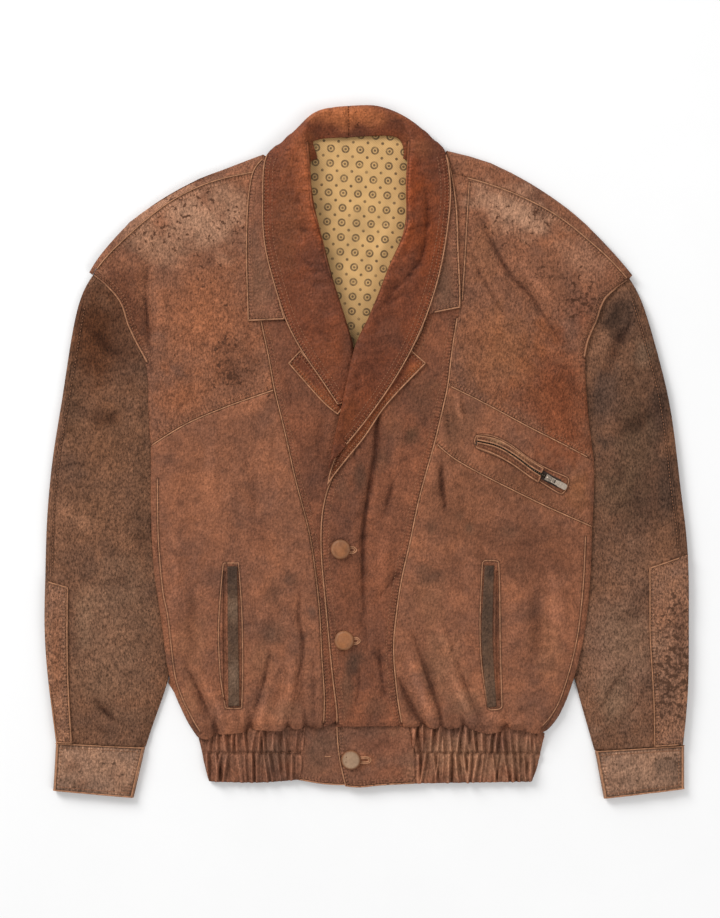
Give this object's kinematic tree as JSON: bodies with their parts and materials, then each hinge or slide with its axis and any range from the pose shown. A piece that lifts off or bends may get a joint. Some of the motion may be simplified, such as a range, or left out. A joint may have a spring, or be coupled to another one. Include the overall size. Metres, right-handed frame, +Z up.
{
  "type": "leather blouson jacket",
  "caption": "Worn brown leather blouson laid flat on its back: shawl collar, pocket welts, chest zip, domed buttons and a ribbed waistband.",
  "frame": {"origin": "centre of the bounding box on the table that the jacket lies on", "axes": "+Y towards the collar, +Z up off the table, +X to the wearer's left"},
  "size_m": [0.7242, 0.7784, 0.0248],
  "materials": {
    "chest_leather": "worn, soft grain",
    "front_leather": "worn, soft grain",
    "centre_leather": "worn, soft grain",
    "sleeve_leather": "worn, soft grain",
    "patch_leather": "worn, soft grain",
    "cuff_leather": "worn, soft grain",
    "collar_leather": "worn, soft grain",
    "waistband_leather": "worn, soft grain",
    "welt_leather": "worn, soft grain",
    "lining_cloth": "satin weave",
    "zip_tape_cloth": "matt",
    "zip_metal": "dulled",
    "button_tan": "worn satin"
  },
  "bodies": {
    "jacket": {"right_chest": "chest_leather", "right_yoke": "chest_leather", "left_chest": "chest_leather", "left_yoke": "chest_leather", "back_panel": "chest_leather", "right_side_front": "front_leather", "left_side_front": "front_leather", "left_pocket_band": "front_leather", "right_pocket_facing": "front_leather", "left_pocket_facing": "front_leather", "zip_upper_lip": "front_leather", "zip_lower_lip": "front_leather", "right_centre_front": "centre_leather", "left_centre_front": "centre_leather", "right_upper_sleeve": "sleeve_leather", "right_under_sleeve": "sleeve_leather", "left_upper_sleeve": "sleeve_leather", "left_under_sleeve": "sleeve_leather", "right_forearm_patch": "patch_leather", "left_forearm_patch": "patch_leather", "right_under_collar": "patch_leather", "left_under_collar": "patch_leather", "right_cuff": "cuff_leather", "left_cuff": "cuff_leather", "right_shawl_collar": "collar_leather", "left_shawl_collar": "collar_leather", "right_lapel": "collar_leather", "left_lapel": "collar_leather", "waistband_right_elastic": "waistband_leather", "waistband_left_elastic": "waistband_leather", "waistband_right_tab": "waistband_leather", "waistband_left_tab": "waistband_leather", "waistband_back": "waistband_leather", "right_pocket_welt": "welt_leather", "left_pocket_welt": "welt_leather", "back_neck_lining": "lining_cloth", "zip_tape": "zip_tape_cloth", "zip_slider": "zip_metal", "button_1": "button_tan", "button_2": "button_tan", "button_3": "button_tan"},
    "zip_pull": {"zip_pull": "zip_metal"}
  },
  "joints": [
    {"name": "zip_pull_hinge", "type": "hinge", "parent": "jacket", "child": "zip_pull", "pos_m": [0.20694, -0.03154, 0.01805], "axis": [-0.4722, -0.8815, 0], "range_deg": [0, 120]}
  ]
}
